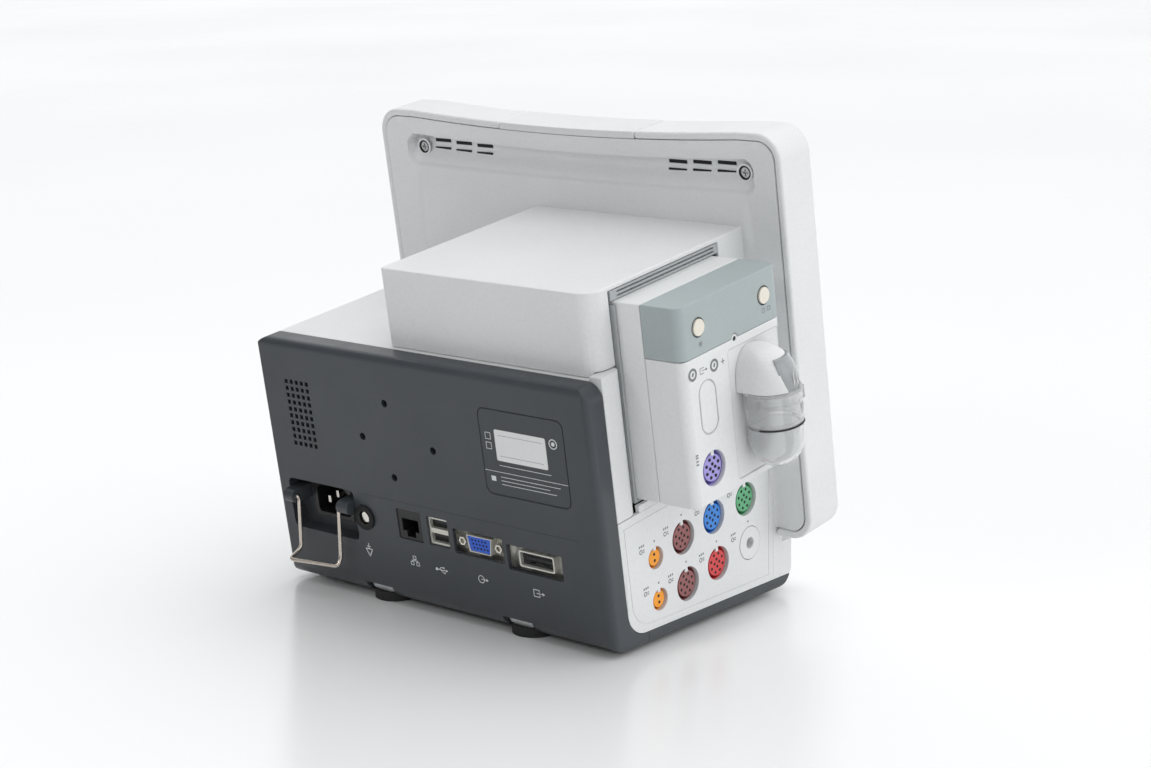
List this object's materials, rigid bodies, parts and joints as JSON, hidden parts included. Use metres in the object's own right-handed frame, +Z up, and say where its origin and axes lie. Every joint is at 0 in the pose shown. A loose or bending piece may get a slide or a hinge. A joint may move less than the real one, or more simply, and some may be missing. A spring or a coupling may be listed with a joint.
{
  "type": "patient monitor",
  "caption": "Bedside patient monitor with a wide display, leaning body, rear ports, coloured sensor sockets, a slide-out gas module with water trap, and a wire cord bail.",
  "frame": {"origin": "centre of the four screw holes in the flat underside of the base", "axes": "+Z up, screen faces -Y, rear ports face +Y, sensor sockets and module face -X"},
  "size_m": [0.3169, 0.1812, 0.2547],
  "materials": {
    "dark_shell": "satin fine texture",
    "white_shell": "satin fine texture",
    "inner_grey": "satin",
    "tint_shell": "satin fine texture",
    "key_cream": "satin",
    "key_grey": "satin",
    "foot_rubber": "matt",
    "plate_film": "satin film",
    "black_plastic": "satin",
    "pin_metal": "nickel plated",
    "bail_steel": "polished wire",
    "port_steel": "plated sheet",
    "video_blue": "satin",
    "circuit_board": "solder mask",
    "socket_orange": "satin",
    "socket_brown": "satin",
    "socket_blue": "satin",
    "socket_red": "satin",
    "socket_green": "satin",
    "socket_violet": "satin",
    "pump_metal": "cast",
    "supply_case": "sheet",
    "frame_sheet": "zinc plated sheet",
    "battery_case": "satin",
    "speaker_black": "matt cone",
    "screw_steel": "zinc plated",
    "lcd_module": "sheet and film",
    "screen": "black glass",
    "lamp_diffuser": "translucent",
    "trap_white": "satin",
    "trap_grey": "translucent",
    "clear_plastic": "clear moulded"
  },
  "bodies": {
    "monitor": {"base_tray": "dark_shell", "rear_cover": "dark_shell", "main_housing": "white_shell", "upper_housing": "white_shell", "socket_panel": "white_shell", "side_pillar": "white_shell", "rating_plate": "plate_film", "feet": "foot_rubber", "chassis": "frame_sheet", "speaker": "speaker_black", "power_inlet": "black_plastic", "inlet_pins": "pin_metal", "bail_brackets": "dark_shell", "terminal_ring": "black_plastic", "terminal_pin": "pin_metal", "network_jack": "black_plastic", "usb_stack": "port_steel", "usb_tongues": "black_plastic", "video_shell": "port_steel", "video_insert": "video_blue", "jackscrews": "pin_metal", "io_shell": "port_steel", "io_insert": "black_plastic", "io_bracket": "port_steel", "io_board": "circuit_board", "temp_sockets": "socket_orange", "pressure_sockets": "socket_brown", "oxygen_socket": "socket_blue", "output_socket": "socket_red", "ecg_socket": "socket_green", "cuff_port": "white_shell", "sensor_board": "circuit_board", "cuff_pump": "pump_metal", "power_supply": "supply_case", "battery_pack": "battery_case", "bay_frame": "inner_grey", "bay_rail": "inner_grey", "display_back": "white_shell", "display_screws": "screw_steel", "display_bezel": "white_shell", "lcd_panel": "lcd_module", "screen_glass": "screen", "alarm_lamp": "lamp_diffuser"},
    "module": {"module_shell": "white_shell", "module_band": "tint_shell", "module_front": "white_shell", "module_socket": "socket_violet", "module_board": "circuit_board"},
    "water_trap": {"trap_cap": "trap_white", "trap_latch": "trap_grey", "trap_body": "clear_plastic", "trap_seal": "foot_rubber", "trap_bowl": "clear_plastic"},
    "module_key_a": {"module_key_a": "key_cream"},
    "module_key_b": {"module_key_b": "key_cream"},
    "cord_bail": {"cord_bail": "bail_steel"},
    "battery_door": {"battery_door": "white_shell"},
    "power_key": {"power_key": "key_grey"},
    "front_key_a": {"front_key_a": "key_grey"},
    "front_key_b": {"front_key_b": "key_grey"}
  },
  "joints": [
    {"name": "bail_hinge", "type": "hinge", "parent": "monitor", "child": "cord_bail", "pos_m": [0.08225, 0.08921, 0.0497], "axis": [1, 0, 0], "range_deg": [-4, 140]},
    {"name": "module_slide", "type": "slide", "parent": "monitor", "child": "module", "axis": [-1, 0, 0], "range_m": [0, 0.1]},
    {"name": "trap_slide", "type": "slide", "parent": "module", "child": "water_trap", "axis": [-1, 0, 0], "range_m": [0, 0.03]},
    {"name": "module_key_a_press", "type": "slide", "parent": "module", "child": "module_key_a", "axis": [1, 0, 0], "range_m": [0, 0.0008], "stiffness_N_per_m": 1500},
    {"name": "module_key_b_press", "type": "slide", "parent": "module", "child": "module_key_b", "axis": [1, 0, 0], "range_m": [0, 0.0008], "stiffness_N_per_m": 1500},
    {"name": "battery_door_hinge", "type": "hinge", "parent": "monitor", "child": "battery_door", "pos_m": [0.11565, 0.00531, 0.0362], "axis": [0, 0.9903, -0.1392], "range_deg": [0, 100]},
    {"name": "power_key_press", "type": "slide", "parent": "monitor", "child": "power_key", "axis": [0, 0.9903, -0.1392], "range_m": [0, 0.001], "stiffness_N_per_m": 1500},
    {"name": "front_key_a_press", "type": "slide", "parent": "monitor", "child": "front_key_a", "axis": [0, 0.9903, -0.1392], "range_m": [0, 0.001], "stiffness_N_per_m": 1500},
    {"name": "front_key_b_press", "type": "slide", "parent": "monitor", "child": "front_key_b", "axis": [0, 0.9903, -0.1392], "range_m": [0, 0.001], "stiffness_N_per_m": 1500}
  ]
}
